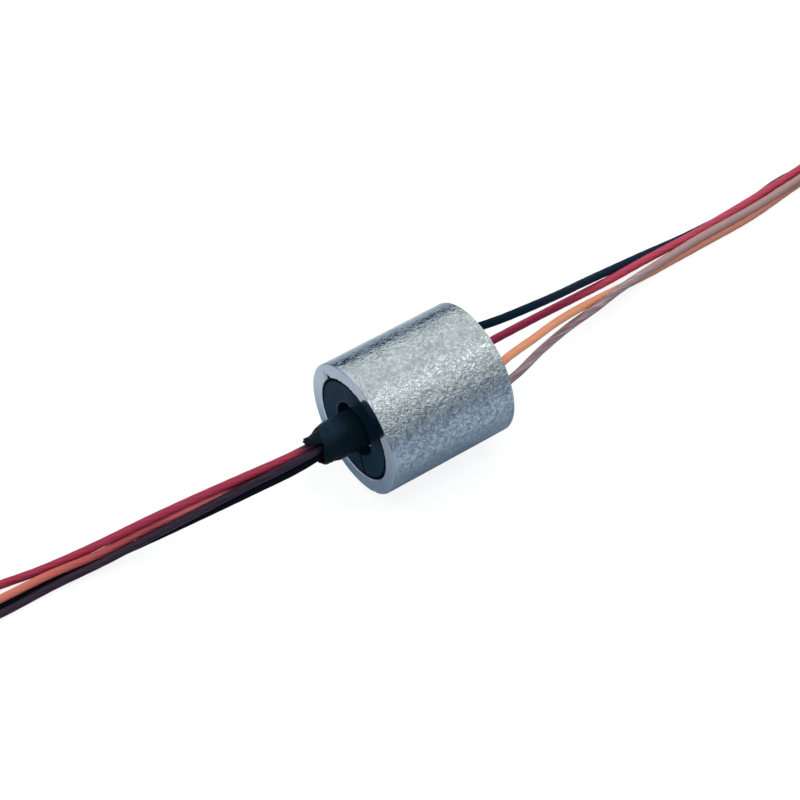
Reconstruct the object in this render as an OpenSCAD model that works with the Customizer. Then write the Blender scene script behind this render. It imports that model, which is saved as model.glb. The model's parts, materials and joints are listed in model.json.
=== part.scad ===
// Miniature capsule slip ring, four circuits, with flying leads on both ends.
// +X runs along the axis from the rotor lead end to the stator lead end, +Z is up,
// and the origin is on the axis at the middle of the housing. Millimetres.

/* [Housing] */
// Outer diameter of the metal sleeve
housing_od = 8.5; // [8.4:0.05:8.6]
// Length of the metal sleeve
housing_len = 8.65; // [8.6:0.05:8.8]
// Bore of the metal sleeve
housing_bore = 6.6; // [6.58:0.01:6.62]
// Chamfer on the sleeve's outer edges
housing_chamfer = 0.1; // [0.04:0.01:0.14]
// Depth of the plastic face below the front rim
face_recess = 0.04; // [0.02:0.01:0.08]

/* [Indexing notch] */
// Angle of the V notch round the front rim, from +Y towards +Z
notch_angle = 39.5; // [30:0.5:50]
// Distance from the axis to the notch's deepest point
notch_reach = 3.825; // [3.6:0.005:3.95]
// How far along the bore the notch runs out
notch_depth = 0.6; // [0.3:0.05:1]

/* [Brush blocks] */
// Angle of the split between the two blocks, from +Y towards +Z
seam_angle = 68.2; // [60:0.1:75]
// Gap between the two halves
seam_gap = 0.03; // [0.01:0.01:0.05]
// Diameter of the hole that the rotor comes out of
hub_hole_d = 3.48; // [3.3:0.02:3.6]
// Bore that clears the rings and spacers
cavity_d = 3.7; // [3.6:0.02:3.8]

/* [Bearings] */
// Bore of each ball bearing
bearing_bore = 2; // [1.99:0.005:2.01]
// Outer diameter of each ball bearing
bearing_od = 4; // [3.98:0.01:4]
// Width of each ball bearing
bearing_w = 1.2; // [1.1:0.05:1.2]
// Ball diameter
ball_d = 0.6; // [0.56:0.01:0.6]
// Balls in each bearing
ball_count = 7; // [5:1:8]

/* [Rotor] */
// Outer diameter of the hollow shaft
shaft_od = 2; // [1.99:0.005:2.01]
// Bore of the hollow shaft
shaft_bore = 1.4; // [1.36:0.01:1.44]
// Outer diameter of the contact rings
ring_od = 3; // [2.96:0.01:3.04]
// Width of each contact ring
ring_w = 0.42; // [0.38:0.01:0.44]
// Distance from ring to ring
ring_pitch = 0.8; // [0.78:0.01:0.82]
// Outer diameter of the insulating spacers
spacer_od = 3.4; // [3.3:0.02:3.5]

/* [Brushes] */
// Diameter of the brush wire
brush_d = 0.15; // [0.1:0.01:0.15]
// Distance from the axis to the middle of each brush wire
brush_offset = 1.455; // [1.45:0.005:1.46]

/* [Leads] */
// Diameter of each insulated lead
lead_d = 0.49; // [0.44:0.01:0.49]
// Distance from the axis to each lead where it leaves the rear cap
lead_circle_r = 2.2; // [2.15:0.01:2.25]
// Angle of the first lead on the rear cap, from +Y towards +Z
lead_angle = 58; // [50:1:66]
// Outer diameter of the heat-shrink sleeve on the rotor
sleeve_od = 2.47; // [2.4:0.01:2.6]

/* [Hanks] */
// Straight run of the rotor hank
rotor_hank_run = 8.8; // [8:0.1:9.8]
// Straight run of the stator hank
stator_hank_run = 8.8; // [8:0.1:9.8]
// Width of each hank
hank_w = 9.8; // [9.4:0.1:10.2]
// Height of each hank
hank_h = 2.4; // [2.2:0.05:2.5]
// How far the tie pulls in each side of a hank
hank_waist = 1.25; // [0.8:0.05:1.3]
// Width of the tie round each hank
tie_w = 1.6; // [1.2:0.1:2.2]
// Thickness of the tie
tie_t = 0.2; // [0.15:0.05:0.3]

/* [Hidden] */

hx = housing_len / 2;                 // rim plane at each end
or = housing_od / 2;
br = housing_bore / 2;
block_r = br - 0.02;
face_x = -hx + face_recess;           // plastic face on the rotor side
rear_x = hx - face_recess;            // plastic face on the stator side
cap_x = 3.6;                          // where the blocks end and the cap begins
brg_x = 2.25;                         // inner side of each bearing
brg_r = bearing_od / 2;
pitch_r = (bearing_od + bearing_bore) / 4;
ring_r = ring_od / 2;
tail_s = [2.55, 2.35, 2.15, 1.95];    // where each brush wire turns back along the axis
ring_x = [for (i = [0:3]) (i - 1.5) * ring_pitch];
floor_z = -or;                        // the surface that everything lies on

// Lead routes: centre points from inside the part to the hank, laid by hand.
// Rotor side, towards -X.
rotor_red = [[-1.2, 0.25, 0.25], [-6.2, 0.2, 0.24], [-8.5, 0.27, 0.14], [-11, 0.8, -0.28], [-14, 1.83, -1.3],
  [-17, 2.83, -2.38], [-20, 3.53, -3.18], [-23, 4.28, -3.85], [-27, 5, -4], [-30.5, 4.72, -3.9], [-33.2, 4.45, -3.65]];
rotor_orange = [[-0.4, 0.25, -0.25], [-6.2, 0.2, -0.26], [-8.5, 0.24, -0.38], [-11, 0.73, -0.82], [-14, 1.76, -1.84],
  [-17, 2.64, -2.86], [-20, 3.04, -3.38], [-23, 3.44, -3.46], [-27, 3.64, -3.51], [-30.5, 3.95, -3.4], [-33.2, 4.1, -3.3]];
rotor_brown = [[0.4, -0.25, 0.25], [-6.2, -0.3, 0.25], [-8.5, -0.26, 0.15], [-11, 0.23, -0.42], [-14, 1.2, -1.72],
  [-17, 2.06, -2.88], [-20, 2.54, -3.54], [-23, 2.93, -3.88], [-27, 3.04, -4], [-30.5, 3.4, -3.9], [-33.2, 3.75, -3.65]];
rotor_black = [[1.2, -0.25, -0.25], [-6.2, -0.3, -0.25], [-8.5, -0.3, -0.46], [-11, 0.19, -1], [-14, 1.34, -2.36],
  [-17, 2.32, -3.44], [-20, 2.93, -3.9], [-23, 3.43, -4], [-27, 3.54, -4], [-30.5, 3.92, -4], [-33.2, 4.1, -4]];
// Stator side, towards +X.
lead_at = [for (k = [0:3]) lead_circle_r * [cos(lead_angle + 90 * k), sin(lead_angle + 90 * k)]];
function out_of_cap(k) = [[3.7, lead_at[k][0], lead_at[k][1]], [4.3, lead_at[k][0], lead_at[k][1]]];
stator_black = concat(out_of_cap(0), [[7, 0.82, 1.8], [10, 1.07, 1.11], [12.5, 1.9, -0.18], [15, 2.93, -1.65], [17.5, 3.78, -2.92],
  [21, 4.25, -3.8], [25, 4.12, -4], [30, 4.1, -4], [34, 4.6, -4], [37, 4.35, -3.9]]);
stator_orange = concat(out_of_cap(1), [[5.6, -1.55, 1.24], [7, -1.12, 0.92], [8.5, -0.66, 0.5], [10, -0.16, 0.09], [12.5, 0.84, -1.07], [15, 1.84, -2.42], [17.5, 2.5, -3.4],
  [21, 2.84, -3.98], [25, 2.94, -4], [30, 3.08, -4], [34, 3.58, -4], [37, 3.85, -3.9]]);
stator_brown = concat(out_of_cap(2), [[7, -0.77, -1.88], [10, 0.2, -2.08], [12.5, 0.82, -2.22], [15, 1.18, -2.26], [17.5, 2.08, -3],
  [21, 2.77, -3.48], [25, 3.12, -3.52], [30, 3.28, -3.54], [34, 3.54, -3.48], [37, 3.85, -3.4]]);
stator_red = concat(out_of_cap(3), [[7, 1.9, -1.2], [10, 2.11, -1.48], [12.5, 2.5, -2.04], [15, 2.93, -2.68], [17.5, 3.36, -3.3],
  [21, 3.73, -3.7], [25, 3.74, -3.68], [30, 3.88, -3.54], [34, 4.24, -3.58], [37, 4.35, -3.4]]);
// Each hank: the lead-in face, the centre of its near end, and its centre line across.
hank_in = 3.4;
rotor_hank_x = -36.6;
stator_hank_x = 40.4;
hank_y = -0.2;
steel = "gainsboro";
plastic = "#243440";
gold = "goldenrod";

// Turns about the axis: the section in [radius, x] pairs becomes a solid round X.
module turn(points) rotate([0, 90, 0]) rotate_extrude($fn = 128) polygon(points);
module along_x(r, x0, x1, fn = 128) translate([x0, 0, 0]) rotate([0, 90, 0]) cylinder(r = r, h = x1 - x0, $fn = fn);

module housing() color(steel) difference() {
  turn([[br, -hx], [or - housing_chamfer, -hx], [or, -hx + housing_chamfer],
        [or, hx - housing_chamfer], [or - housing_chamfer, hx], [br, hx]]);
  notch();
}

// V notch: its bottom line falls from the front rim to the bore.
module notch() {
  rise = notch_reach - br;
  tilt = atan2(rise, notch_depth);
  rotate([notch_angle, 0, 0]) translate([-hx, notch_reach, 0]) rotate([0, 0, -tilt])
    translate([-1, 0, 0]) rotate([90, 0, 90]) linear_extrude(height = 3)
      polygon([[0, 0], [-2, -2.4], [-2, 2.4]]);
}

// One half of the moulded brush block; side is -1 or 1 across the split.
module brush_block(side) color(plastic) intersection() {
  difference() {
    turn([[0, face_x], [block_r - 0.04, face_x], [block_r, face_x + 0.04], [block_r, cap_x], [0, cap_x]]);
    along_x(hub_hole_d / 2, face_x - 1, cap_x + 1 - 2);
    turn([[0, face_x - 0.1], [hub_hole_d / 2 + 0.16, face_x - 0.1], [hub_hole_d / 2, face_x + 0.06], [0, face_x + 0.06]]);
    along_x(cavity_d / 2, -brg_x, brg_x);
    along_x(brg_r, -brg_x - bearing_w, -brg_x);
    along_x(brg_r, brg_x, brg_x + bearing_w);
    along_x(1.5, 1, cap_x + 1);
    rotate([seam_angle, 0, 0]) {
      // channel that the brush tails run back in
      translate([-1.45, 1.1, side > 0 ? 1.25 : -1.65]) cube([brg_x + 1.45, 1.62, 0.4]);
      translate([brg_x - 0.1, 1.8, side > 0 ? 1.25 : -1.65]) cube([3, 0.92, 0.4]);
      // fine bevel along the split
      translate([face_x, -5, 0]) rotate([-90, 0, 0]) linear_extrude(height = 10)
        polygon([[-0.1, -0.12], [0.05, 0], [-0.1, 0.12]]);
    }
    // small moulding nicks on the edge of the face
    rotate([84.5, 0, 0]) translate([face_x, block_r, 0]) cube([0.5, 0.24, 0.14], center = true);
    rotate([81, 0, 0]) translate([face_x, block_r + 0.02, 0]) cube([0.4, 0.2, 0.1], center = true);
  }
  rotate([seam_angle, 0, 0])
    translate([-5, -5, side > 0 ? seam_gap / 2 : -5 - seam_gap / 2]) cube([10, 10, 5]);
}
module brush_block_a() brush_block(-1);
module brush_block_b() brush_block(1);

module rear_cap() color(plastic) difference() {
  turn([[0, cap_x], [block_r, cap_x], [block_r, rear_x - 0.04], [block_r - 0.04, rear_x], [0, rear_x]]);
  along_x(2.95, cap_x - 1, cap_x + 0.25);
  along_x(2.75, rear_x - 0.2, rear_x + 1);
  for (p = lead_at) translate([0, p[0], p[1]]) along_x(0.3, 3, 5, 48);
}

module rear_potting() color("#1c2024") difference() {
  along_x(2.74, rear_x - 0.2, rear_x);
  for (p = lead_at) translate([0, p[0], p[1]]) along_x(0.25, 3, 5, 48);
}

// A brush wire crosses its ring, then turns back towards the cap.
module brush(i, side) color(gold) rotate([seam_angle, 0, 0]) translate([0, 0, side * brush_offset]) union() {
  translate([ring_x[i], -1, 0]) rotate([-90, 0, 0]) cylinder(d = brush_d, h = 1 + tail_s[i], $fn = 24);
  translate([ring_x[i], tail_s[i], 0]) rotate([0, 90, 0]) cylinder(d = brush_d, h = 3.75 - ring_x[i], $fn = 24);
  translate([ring_x[i], tail_s[i], 0]) sphere(d = brush_d, $fn = 24);
}
module brush_1a() brush(0, -1);
module brush_1b() brush(0, 1);
module brush_2a() brush(1, -1);
module brush_2b() brush(1, 1);
module brush_3a() brush(2, -1);
module brush_3b() brush(2, 1);
module brush_4a() brush(3, -1);
module brush_4b() brush(3, 1);

// Ball bearing pieces, centred on x.
module outer_race(x) color("silver") translate([x, 0, 0]) rotate([0, 90, 0]) rotate_extrude($fn = 96) difference() {
  translate([brg_r - 0.25, -bearing_w / 2]) square([0.24, bearing_w]);
  translate([pitch_r, 0]) circle(r = ball_d / 2 + 0.015, $fn = 48);
}
module inner_race(x) color("silver") translate([x, 0, 0]) rotate([0, 90, 0]) rotate_extrude($fn = 96) difference() {
  translate([bearing_bore / 2, -bearing_w / 2]) square([0.25, bearing_w]);
  translate([pitch_r, 0]) circle(r = ball_d / 2 + 0.015, $fn = 48);
}
module cage(x) color("gainsboro") difference() {
  translate([x, 0, 0]) rotate([0, 90, 0]) rotate_extrude($fn = 96)
    translate([pitch_r - 0.12, -0.42]) square([0.24, 0.84]);
  for (k = [0:ball_count - 1]) rotate([k * 360 / ball_count, 0, 0])
    translate([x, 0, pitch_r]) sphere(r = ball_d / 2 + 0.02, $fn = 48);
}
module balls(x) color("silver") for (k = [0:ball_count - 1]) rotate([k * 360 / ball_count, 0, 0])
  translate([x, 0, pitch_r]) sphere(d = ball_d, $fn = 32);
module front_outer_race() outer_race(-brg_x - bearing_w / 2);
module front_inner_race() inner_race(-brg_x - bearing_w / 2);
module front_cage() cage(-brg_x - bearing_w / 2);
module front_balls() balls(-brg_x - bearing_w / 2);
module rear_outer_race() outer_race(brg_x + bearing_w / 2);
module rear_inner_race() inner_race(brg_x + bearing_w / 2);
module rear_cage() cage(brg_x + bearing_w / 2);
module rear_balls() balls(brg_x + bearing_w / 2);

// Hollow shaft, with a window under each ring for its lead.
module rotor_shaft() color("lightslategray") difference() {
  along_x(shaft_od / 2, -5.9, 3.55);
  along_x(shaft_bore / 2, -7, 5, 64);
  for (i = [0:3]) rotate([45 + 90 * i, 0, 0]) translate([ring_x[i], 0, 0]) cylinder(r = 0.16, h = 2, $fn = 32);
}
module ring(i) color(gold) translate([ring_x[i], 0, 0]) rotate([0, 90, 0]) rotate_extrude($fn = 96) difference() {
  translate([shaft_od / 2, -ring_w / 2]) square([ring_r - shaft_od / 2, ring_w]);
  translate([brush_offset, 0]) circle(r = brush_d / 2 + 0.035, $fn = 32);
}
module ring_1() ring(0);
module ring_2() ring(1);
module ring_3() ring(2);
module ring_4() ring(3);

// Spacers between the rings, and a stepped one at each end that reaches the bearing.
module spacer(x0, x1) color("ivory") difference() {
  along_x(spacer_od / 2, x0, x1, 96);
  along_x(shaft_od / 2, x0 - 1, x1 + 1);
}
module end_spacer(side) color("ivory") mirror([side > 0 ? 0 : 1, 0, 0])
  turn([[shaft_od / 2, ring_x[3] + ring_w / 2], [spacer_od / 2, ring_x[3] + ring_w / 2], [spacer_od / 2, 1.85],
        [1.2, 1.85], [1.2, brg_x], [shaft_od / 2, brg_x]]);
module spacer_1() end_spacer(-1);
module spacer_2() spacer(ring_x[0] + ring_w / 2, ring_x[1] - ring_w / 2);
module spacer_3() spacer(ring_x[1] + ring_w / 2, ring_x[2] - ring_w / 2);
module spacer_4() spacer(ring_x[2] + ring_w / 2, ring_x[3] - ring_w / 2);
module spacer_5() end_spacer(1);

// Heat-shrink sleeve: snug on the shaft, shrunk towards the leads past its end.
module heat_shrink_sleeve() color("#10141c")
  turn([[shaft_od / 2, -3.6], [sleeve_od / 2, -3.6], [sleeve_od / 2, -5.85], [1.14, -6.5], [1.02, -7], [0.97, -7.3],
        [0.8, -7.3], [0.84, -6.6], [0.86, -5.95], [shaft_od / 2, -5.9]]);

// Sweeps an eight-sided tube along a route; its end faces stand square to X.
function unit(v) = v / norm(v);
function heading(p, i) = i == 0 || i == len(p) - 1 ? [p[len(p) - 1][0] > p[0][0] ? 1 : -1, 0, 0]
  : unit(unit(p[i + 1] - p[i]) + unit(p[i] - p[i - 1]));
module lead(p) {
  n = len(p);
  pts = [for (i = [0:n - 1]) let (t = heading(p, i), a = unit(cross([0, 0, 1], t)), b = cross(t, a))
    for (k = [0:7]) p[i] + lead_d / 2 * (cos(45 * k) * a + sin(45 * k) * b)];
  faces = concat([[for (k = [0:7]) k]], [[for (k = [0:7]) 8 * n - 1 - k]],
    [for (i = [0:n - 2]) for (k = [0:7]) [8 * i + k, 8 * i + 8 + k, 8 * i + 8 + (k + 1) % 8, 8 * i + (k + 1) % 8]]);
  polyhedron(pts, faces, convexity = 4);
}
module rotor_lead_red() color("crimson") lead(rotor_red);
module rotor_lead_orange() color("orange") lead(rotor_orange);
module rotor_lead_brown() color("saddlebrown") lead(rotor_brown);
module rotor_lead_black() color("#142838") lead(rotor_black);
module stator_lead_red() color("crimson") lead(stator_red);
module stator_lead_orange() color("orange") lead(stator_orange);
module stator_lead_brown() color("saddlebrown") lead(stator_brown);
module stator_lead_black() color("#142838") lead(stator_black);

// Hank outline: round ends, a waist where the tie pulls it in, and a square shoulder where the leads come in.
function pinch(x, run) = hank_waist * pow(sin(180 * x / run), 2);
module hank_outline(run, w) {
  polygon(concat([for (i = [0:16]) let (x = run * i / 16) [x, w / 2 - pinch(x, run)]],
    [for (i = [16:-1:0]) let (x = run * i / 16) [x, pinch(x, run) - w / 2]]));
  circle(d = w, $fn = 96);
  translate([run, 0]) circle(d = w, $fn = 96);
}
module hank(run) difference() {
  translate([0, 0, floor_z]) linear_extrude(height = hank_h) union() {
    hank_outline(run, hank_w);
    translate([-hank_in, hank_w / 2 - 1.3]) square([hank_in, 1.3]);
  }
  tie(run, 1);
}
// The band of the tie; with cut above 0 it is the room that the band needs.
module tie(run, cut) {
  waist_w = hank_w - 2 * hank_waist;
  translate([run / 2 - tie_w / 2, 0, floor_z]) difference() {
    translate([0, -waist_w / 2 - tie_t - cut, -cut]) cube([tie_w, waist_w + 2 * (tie_t + cut), hank_h + 2 * (tie_t + cut)]);
    translate([-1, -waist_w / 2, tie_t]) cube([tie_w + 2, waist_w, hank_h]);
  }
}
module rotor_side() translate([rotor_hank_x, hank_y, 0]) mirror([1, 0, 0]) children();
module stator_side() translate([stator_hank_x, hank_y, 0]) children();
module rotor_hank() color("indianred") rotor_side() hank(rotor_hank_run);
module rotor_hank_tie() color("black") rotor_side() tie(rotor_hank_run, 0);
module stator_hank() color("indianred") stator_side() hank(stator_hank_run);
module stator_hank_tie() color("black") stator_side() tie(stator_hank_run, 0);

housing();
brush_block_a();
brush_block_b();
rear_cap();
rear_potting();
brush_1a();
brush_1b();
brush_2a();
brush_2b();
brush_3a();
brush_3b();
brush_4a();
brush_4b();
front_outer_race();
front_inner_race();
front_cage();
front_balls();
rear_outer_race();
rear_inner_race();
rear_cage();
rear_balls();
rotor_shaft();
ring_1();
ring_2();
ring_3();
ring_4();
spacer_1();
spacer_2();
spacer_3();
spacer_4();
spacer_5();
heat_shrink_sleeve();
rotor_lead_red();
rotor_lead_orange();
rotor_lead_brown();
rotor_lead_black();
rotor_hank();
rotor_hank_tie();
stator_lead_red();
stator_lead_orange();
stator_lead_brown();
stator_lead_black();
stator_hank();
stator_hank_tie();
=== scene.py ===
import bmesh
import bpy
import json
import math
import numpy as np
from mathutils import Matrix, Vector


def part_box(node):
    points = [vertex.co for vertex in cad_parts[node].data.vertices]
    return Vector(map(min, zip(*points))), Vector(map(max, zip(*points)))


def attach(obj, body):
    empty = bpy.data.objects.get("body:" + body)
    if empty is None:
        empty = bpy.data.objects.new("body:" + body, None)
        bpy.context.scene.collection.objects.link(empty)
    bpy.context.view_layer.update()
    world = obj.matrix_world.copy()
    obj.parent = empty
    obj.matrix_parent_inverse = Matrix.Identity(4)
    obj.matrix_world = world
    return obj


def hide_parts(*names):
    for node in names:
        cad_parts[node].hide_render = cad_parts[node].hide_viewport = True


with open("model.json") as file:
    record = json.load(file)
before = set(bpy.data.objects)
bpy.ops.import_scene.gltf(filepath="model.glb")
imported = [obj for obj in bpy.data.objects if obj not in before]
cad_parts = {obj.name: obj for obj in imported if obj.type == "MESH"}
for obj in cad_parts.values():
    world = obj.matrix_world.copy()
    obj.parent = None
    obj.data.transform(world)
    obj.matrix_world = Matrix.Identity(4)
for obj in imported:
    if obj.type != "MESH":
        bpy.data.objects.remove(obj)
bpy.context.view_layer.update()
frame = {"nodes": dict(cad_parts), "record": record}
NODES = frame["nodes"]
MM = 0.001
SCENE = bpy.context.scene
RNG = np.random.default_rng(7)

# ---------------------------------------------------------------- camera
cam_data = bpy.data.cameras.new("view_camera")
cam_data.lens, cam_data.sensor_width = 98.11, 36.0
cam_data.clip_start, cam_data.clip_end = 0.001, 20.0
cam = bpy.data.objects.new("view_camera", cam_data)
SCENE.collection.objects.link(cam)
RIGHT, UP, BACK = Vector((0.81740, -0.57607, 0.0)), Vector((0.43160, 0.61241, 0.66233)), Vector((-0.38155, -0.54139, 0.74921))
cam.matrix_world = Matrix.Translation(Vector((-0.049977, -0.069548, 0.096671))) @ Matrix((RIGHT, UP, BACK)).transposed().to_4x4()
SCENE.camera = cam


# ---------------------------------------------------------------- helpers
def mesh_object(name, verts, faces, uvs=None, smooth=True, indices=None):
    """A mesh from points in millimetres; uvs is one (u, v) per face corner."""
    me = bpy.data.meshes.new(name)
    me.from_pydata([tuple(float(c) * MM for c in v) for v in verts], [], [tuple(int(i) for i in f) for f in faces])
    if uvs is not None:
        layer = me.uv_layers.new(name="UVMap")
        layer.data.foreach_set("uv", np.asarray(uvs, np.float32).ravel())
    if indices is not None:
        me.polygons.foreach_set("material_index", np.asarray(indices, np.int32))
    me.polygons.foreach_set("use_smooth", [smooth] * len(me.polygons))
    me.update()
    o = bpy.data.objects.new(name, me)
    SCENE.collection.objects.link(o)
    return o


def grid_faces(rows, cols, closed=True, flip=False):
    """Quads over a rows x cols grid of points, each row closed round if asked, and their (row, column) corners for uvs."""
    faces, corners = [], []
    for i in range(rows - 1):
        for j in range(cols if closed else cols - 1):
            k = (j + 1) % cols
            quad = [(i, j), (i, k), (i + 1, k), (i + 1, j)]
            uvq = [(i, j), (i, j + 1), (i + 1, j + 1), (i + 1, j)]
            if flip:
                quad.reverse(), uvq.reverse()
            faces.append([a * cols + b for a, b in quad])
            corners.append(uvq)
    return faces, corners


def unit(v):
    return v / np.linalg.norm(v)


# ---------------------------------------------------------------- lead routes (millimetres, as in the CAD source)
LEAD_D = 0.49
LEAD_R = LEAD_D / 2
ROTOR = {
    "red": [(-1.2, 0.25, 0.25), (-6.2, 0.2, 0.24), (-8.5, 0.27, 0.14), (-11, 0.8, -0.28), (-14, 1.83, -1.3),
            (-17, 2.83, -2.38), (-20, 3.53, -3.18), (-23, 4.28, -3.85), (-27, 5, -4), (-30.5, 4.72, -3.9), (-33.2, 4.45, -3.65)],
    "orange": [(-0.4, 0.25, -0.25), (-6.2, 0.2, -0.26), (-8.5, 0.24, -0.38), (-11, 0.73, -0.82), (-14, 1.76, -1.84),
               (-17, 2.64, -2.86), (-20, 3.04, -3.38), (-23, 3.44, -3.46), (-27, 3.64, -3.51), (-30.5, 3.95, -3.4), (-33.2, 4.1, -3.3)],
    "brown": [(0.4, -0.25, 0.25), (-6.2, -0.3, 0.25), (-8.5, -0.26, 0.15), (-11, 0.23, -0.42), (-14, 1.2, -1.72),
              (-17, 2.06, -2.88), (-20, 2.54, -3.54), (-23, 2.93, -3.88), (-27, 3.04, -4), (-30.5, 3.4, -3.9), (-33.2, 3.75, -3.65)],
    "black": [(1.2, -0.25, -0.25), (-6.2, -0.3, -0.25), (-8.5, -0.3, -0.46), (-11, 0.19, -1), (-14, 1.34, -2.36),
              (-17, 2.32, -3.44), (-20, 2.93, -3.9), (-23, 3.43, -4), (-27, 3.54, -4), (-30.5, 3.92, -4), (-33.2, 4.1, -4)],
}
LEAD_AT = [(2.2 * math.cos(math.radians(58 + 90 * k)), 2.2 * math.sin(math.radians(58 + 90 * k))) for k in range(4)]


def out_of_cap(k):
    return [(3.7, *LEAD_AT[k]), (4.3, *LEAD_AT[k])]


STATOR = {
    "black": out_of_cap(0) + [(7, 0.82, 1.8), (10, 1.07, 1.11), (12.5, 1.9, -0.18), (15, 2.93, -1.65), (17.5, 3.78, -2.92),
                              (21, 4.25, -3.8), (25, 4.12, -4), (30, 4.1, -4), (34, 4.6, -4), (37, 4.35, -3.9)],
    "orange": out_of_cap(1) + [(5.6, -1.55, 1.24), (7, -1.12, 0.92), (8.5, -0.66, 0.5), (10, -0.16, 0.09), (12.5, 0.84, -1.07), (15, 1.84, -2.42), (17.5, 2.5, -3.4),
                               (21, 2.84, -3.98), (25, 2.94, -4), (30, 3.08, -4), (34, 3.58, -4), (37, 3.85, -3.9)],
    "brown": out_of_cap(2) + [(7, -0.77, -1.88), (10, 0.2, -2.08), (12.5, 0.82, -2.22), (15, 1.18, -2.26), (17.5, 2.08, -3),
                              (21, 2.77, -3.48), (25, 3.12, -3.52), (30, 3.28, -3.54), (34, 3.54, -3.48), (37, 3.85, -3.4)],
    "red": out_of_cap(3) + [(7, 1.9, -1.2), (10, 2.11, -1.48), (12.5, 2.5, -2.04), (15, 2.93, -2.68), (17.5, 3.36, -3.3),
                            (21, 3.73, -3.7), (25, 3.74, -3.68), (30, 3.88, -3.54), (34, 4.24, -3.58), (37, 4.35, -3.4)],
}
# Where each lead sits in its rope of four, in degrees from the hank's outer side.
PACK = {"rotor": {"red": 0, "orange": 90, "brown": 180, "black": 270}, "stator": {"red": 45, "brown": 135, "orange": 225, "black": 315}}
HANK = {"rotor": (-36.6, -1), "stator": (40.4, 1)}
HANK_Y, RUN, PITCH, R_OUT, HANK_IN = -0.2, 8.8, 1.2, 4.3, 3.4
WAIST, TIE_T, TIE_W = 1.25, 0.2, 1.6
Z1, Z2 = -3.65, -2.5
FLOOR = -4.25
ROPE_R, TWIST = 0.35, 14.0


def smooth_route(points, step=0.12):
    """One smooth curve through the listed points, its ends headed along X, with points about step apart."""
    p = np.asarray(points, float)
    n = len(p)
    d = np.linalg.norm(np.diff(p, axis=0), axis=1)
    way = 1.0 if p[-1, 0] > p[0, 0] else -1.0
    t = np.zeros_like(p)
    t[0] = t[-1] = (way, 0, 0)
    for i in range(1, n - 1):
        a, b = d[i - 1], d[i]
        t[i] = ((p[i + 1] - p[i]) / b * a + (p[i] - p[i - 1]) / a * b) / (a + b)
    out = []
    for i in range(n - 1):
        for s in np.linspace(0, 1, max(2, math.ceil(d[i] / step)), endpoint=False):
            h = (2 * s**3 - 3 * s**2 + 1, s**3 - 2 * s**2 + s, -2 * s**3 + 3 * s**2, s**3 - s**2)
            out.append(h[0] * p[i] + h[1] * d[i] * t[i] + h[2] * p[i + 1] + h[3] * d[i] * t[i + 1])
    out.append(p[-1])
    out = np.array(out)
    out[:, 2] = np.maximum(out[:, 2], FLOOR + LEAD_R)
    return out


def ease(t):
    return t * t * (3 - 2 * t)


def rope_line():
    """The middle of the rope of four leads in a hank: in along the lower layer, out along the upper one.
    In the hank's own axes: x away from the part, y across, z up."""
    out = []
    step = 0.2

    def straight(x0, x1, y, z0, z1=None):
        z1 = z0 if z1 is None else z1
        n = math.ceil(abs(x1 - x0) / step)
        for t in np.linspace(0, 1, n, endpoint=False):
            out.append((x0 + (x1 - x0) * t, y, z0 + (z1 - z0) * ease(t)))

    def turn(cx, a0, a1, r0, r1, z0, z1=None):
        z1 = z0 if z1 is None else z1
        n = math.ceil(math.pi * (r0 + r1) / 2 / step)
        for t in np.linspace(0, 1, n, endpoint=False):
            a, r = math.radians(a0 + (a1 - a0) * t), r0 + (r1 - r0) * ease(t)
            out.append((cx + r * math.cos(a), r * math.sin(a), z0 + (z1 - z0) * ease(t)))

    straight(-HANK_IN, 0, R_OUT, Z1)
    for k in range(3):
        r = R_OUT - PITCH * k
        straight(0, RUN, r, Z1)
        turn(RUN, 90, -90, r, r, Z1)
        straight(RUN, 0, -r, Z1)
        if k < 2:
            turn(0, -90, -270, r, r - PITCH, Z1)
        else:
            turn(0, -90, -270, r, r, Z1, Z2)
    for k in (2, 1, 0):
        r = R_OUT - PITCH * k
        straight(0, RUN, r, Z2)
        turn(RUN, 90, -90, r, r, Z2)
        if k:
            straight(RUN, 0, -r, Z2)
            turn(0, -90, -270, r, r + PITCH, Z2)
        else:
            straight(RUN, 0.6, -r, Z2)
    out.append((0.6, -R_OUT, Z2))
    q = np.array(out)
    # the tie's waist pulls the runs together and lifts them off the floor by its own thickness
    inside = (q[:, 0] > 0) & (q[:, 0] < RUN)
    w = np.where(inside, np.sin(math.pi * np.clip(q[:, 0] / RUN, 0, 1)) ** 2, 0)
    q[:, 1] -= np.sign(q[:, 1]) * WAIST * w
    q[:, 2] += TIE_T * w
    return q


def hank_leads(side):
    """Each lead's own line in its hank, in millimetres in the part's frame."""
    q = rope_line()
    x0, way = HANK[side]
    t = np.gradient(q, axis=0)
    t /= np.linalg.norm(t, axis=1)[:, None]
    along = np.concatenate([[0], np.cumsum(np.linalg.norm(np.diff(q, axis=0), axis=1))])
    up = np.array((0, 0, 1.0))
    e1 = np.cross(up, t)
    e1 /= np.linalg.norm(e1, axis=1)[:, None]
    e2 = np.cross(t, e1)
    made = {}
    for colour, a0 in PACK[side].items():
        a = np.radians(a0) + 2 * math.pi * along / TWIST * (1 - np.exp(-along / 6))
        p = q + ROPE_R * (np.cos(a)[:, None] * e1 + np.sin(a)[:, None] * e2)
        p[:, 2] = np.maximum(p[:, 2], FLOOR + LEAD_R)
        p[:, 0] = x0 + way * p[:, 0]
        p[:, 1] += HANK_Y
        made[colour] = p
    return made


def spaced(line, step):
    along = np.concatenate([[0], np.cumsum(np.linalg.norm(np.diff(line, axis=0), axis=1))])
    at = np.linspace(0, along[-1], max(2, math.ceil(along[-1] / step) + 1))
    return np.stack([np.interp(at, along, line[:, k]) for k in range(3)], axis=1)


def relax(line, times=6):
    line = line.copy()
    for _ in range(times):
        line[1:-1] = 0.25 * line[:-2] + 0.5 * line[1:-1] + 0.25 * line[2:]
    return line


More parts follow.
